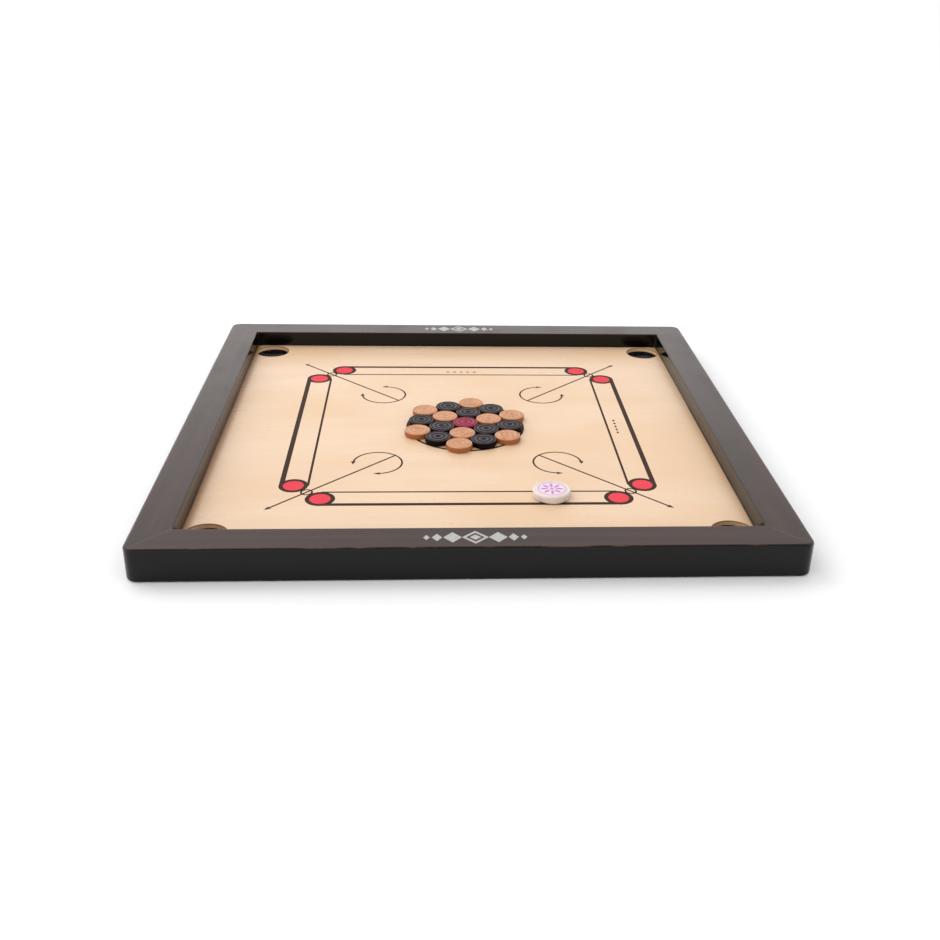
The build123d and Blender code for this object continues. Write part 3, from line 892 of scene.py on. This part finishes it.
def tie_drawstring(build, ball, centre):
    """One turn round the gathered cords, a knot over the middle and two loose ends."""
    middle = Vector((centre.x, centre.y, 0))
    loop_radius, loop_height = DRAWSTRING_LOOP
    turns = [2 * pi * i / 24 for i in range(25)]
    loop = [middle + Vector((cos(a) * loop_radius, sin(a) * loop_radius, loop_height)) * MM for a in turns]
    tube(build, loop, DRAWSTRING_RADIUS, 8)
    knot(build, ball, middle + Vector((0, 0, DRAWSTRING_KNOT_HEIGHT)) * MM, DRAWSTRING_KNOT_RADIUS)

    # Each end bows away from the knot to its own side, in millimetres
    shares = [i / 8 for i in range(9)]
    for lean in (-1, 1):
        bow = [Vector((1.2 + 8.0 * t, lean * (0.8 + 3.4 * t * t), 2.4 - 0.3 * t)) for t in shares]
        tube(build, [middle + point * MM for point in bow], CORD_RADIUS, 8)


def make_net(corner, cord, tape):
    """A knotted diamond net on a woven hem, gathered on a drawstring under the middle of the pocket."""
    centre = middle_of(f"pocket_net_{corner}")
    ball = ball_shape()
    build = bmesh.new()
    weave_net(build, ball, centre, Random(corner))
    tie_drawstring(build, ball, centre)
    bmesh.ops.recalc_face_normals(build, faces=build.faces)
    mesh = bpy.data.meshes.new(f"pocket_net_cords_{corner}")
    build.to_mesh(mesh)
    build.free()
    mesh.shade_smooth()
    net = add_object(f"pocket_net_cords_{corner}", mesh, cord, "board")
    ring = band(centre.x, centre.y, HEM_INNER, HEM_OUTER, steps=72)
    hem_bottom = panel_underside - HEM_THICKNESS
    hem = slab(f"pocket_net_hem_{corner}", ring, hem_bottom, panel_underside, tape, "board")
    for piece in (net, hem):
        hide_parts(f"pocket_net_{corner}")


# ---------------------------------------------------------------------------------------------
# Build
# ---------------------------------------------------------------------------------------------

FLOOR_HALF = 40
# Radians by which each man's grain is turned past the last one's
GRAIN_TURN = 1.9
# The face, its lands painted as highlight, its grooves painted as shade, and the side painted as shade, which
# is also the grain's darker tone
LIGHT_TONES = (srgb(200, 144, 104), srgb(208, 152, 112), srgb(182, 124, 84), srgb(156, 92, 52))
BLACK_TONES = (srgb(12, 8, 8), srgb(92, 80, 84), srgb(4, 3, 3), srgb(15, 8, 6))
QUEEN_TONES = (srgb(136, 16, 48), srgb(170, 50, 84), srgb(88, 6, 26), srgb(108, 12, 34))


def dress(node, material):
    """Gives a CAD node its material."""
    nodes[node].data.materials.clear()
    nodes[node].data.materials.append(material)


bpy.context.scene.view_settings.view_transform = "Standard"
make_camera()
make_world()
make_key_light()

floor_mesh = bpy.data.meshes.new("floor")
floor_corners = [(x * FLOOR_HALF, y * FLOOR_HALF, 0) for x, y in ((-1, -1), (1, -1), (1, 1), (-1, 1))]
floor_mesh.from_pydata(floor_corners, [], [(0, 1, 2, 3)])
add_object("floor", floor_mesh, pale_floor())

across_lacquer = rail_lacquer("rail_lacquer_across", 0.0)
along_lacquer = rail_lacquer("rail_lacquer_along", pi / 2)
for name in ("rail_front", "rail_back"):
    dress(name, across_lacquer)
for name in ("rail_left", "rail_right"):
    dress(name, along_lacquer)
dress("playing_surface", playing_surface_ply())

pine_across = bare_wood("pine_across", srgb(222, 184, 130), srgb(196, 148, 94), 0.0)
pine_along = bare_wood("pine_along", srgb(222, 184, 130), srgb(196, 148, 94), pi / 2)
beech = bare_wood("beech", srgb(205, 158, 112), srgb(182, 132, 88), pi / 4)
for name in ("batten_x_front", "batten_x_back"):
    dress(name, pine_across)
for name in ("batten_y_left", "batten_y_right"):
    dress(name, pine_along)

plate_zinc = zinc("plate_zinc", srgb(168, 169, 168), srgb(132, 134, 136), 0.0)
screw_zinc = zinc("screw_zinc", srgb(176, 164, 126), srgb(142, 130, 96), 0.5)
black_plastic = moulded_black()
cord_material, tape_material = net_cord(), hem_tape()
for corner in CORNERS:
    dress(f"mitre_spline_{corner}", beech)
    dress(f"corner_plate_{corner}", plate_zinc)
    dress(f"pocket_ring_{corner}", black_plastic)
    make_net(corner, cord_material, tape_material)
for name in nodes:
    if name.endswith("_screws"):
        dress(name, screw_zinc)

for i in range(1, 10):
    name = f"white_man_{i}"
    dress(name, turned_wood(name, i * GRAIN_TURN, LIGHT_TONES, 0.3, 0.34, 1.34))
    name = f"black_man_{i}"
    dress(name, turned_wood(name, (i + 9) * GRAIN_TURN, BLACK_TONES, 0.95, 0.28, 1.16))
dress("queen", turned_wood("queen", 4 * GRAIN_TURN, QUEEN_TONES, 0.6, 0.3, 1.2))
dress("striker", striker_acrylic())

dark_ink = ink("dark_ink", srgb(66, 42, 28), srgb(52, 31, 20))
red_ink = ink("red_ink", srgb(232, 76, 88), srgb(218, 58, 72))
lilac_ink = ink("lilac_ink", srgb(196, 146, 194), srgb(178, 126, 182))
print_markings(dark_ink, red_ink)
print_rosette(lilac_ink)
foil = silver_foil()
stamp_rail_chain("rail_chain_front", -rail_middle, foil)
stamp_rail_chain("rail_chain_back", rail_middle, foil)
